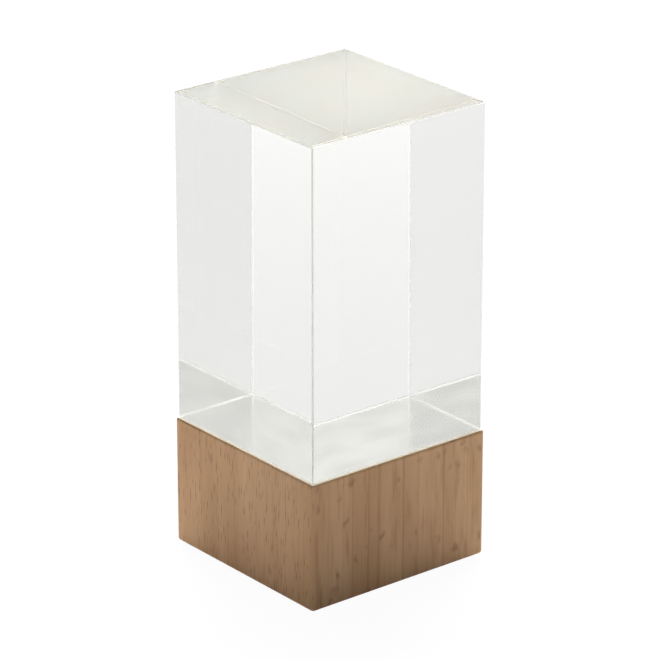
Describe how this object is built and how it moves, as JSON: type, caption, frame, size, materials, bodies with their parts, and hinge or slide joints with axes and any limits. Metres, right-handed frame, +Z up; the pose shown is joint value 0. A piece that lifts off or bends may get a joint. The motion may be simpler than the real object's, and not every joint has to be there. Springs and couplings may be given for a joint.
{
  "type": "display block",
  "caption": "Tall clear solid display block with polished bevels, bonded on a pale film to a square beech base that stands on low felt pads.",
  "frame": {"origin": "centre of the square footprint, on the plane that the felt pads stand on", "axes": "+Z up along the shared axis of the block and the base; X and Y square to the block's four sides, which are all alike"},
  "size_m": [0.0512, 0.0512, 0.1125],
  "materials": {
    "clear_acrylic": "polished",
    "pale_film": "satin",
    "beech": "satin",
    "felt": "matte"
  },
  "bodies": {
    "root": {"clear_block": "clear_acrylic", "bonding_film": "pale_film", "wood_base": "beech", "pad_front_left": "felt", "pad_front_right": "felt", "pad_back_left": "felt", "pad_back_right": "felt"}
  },
  "joints": []
}
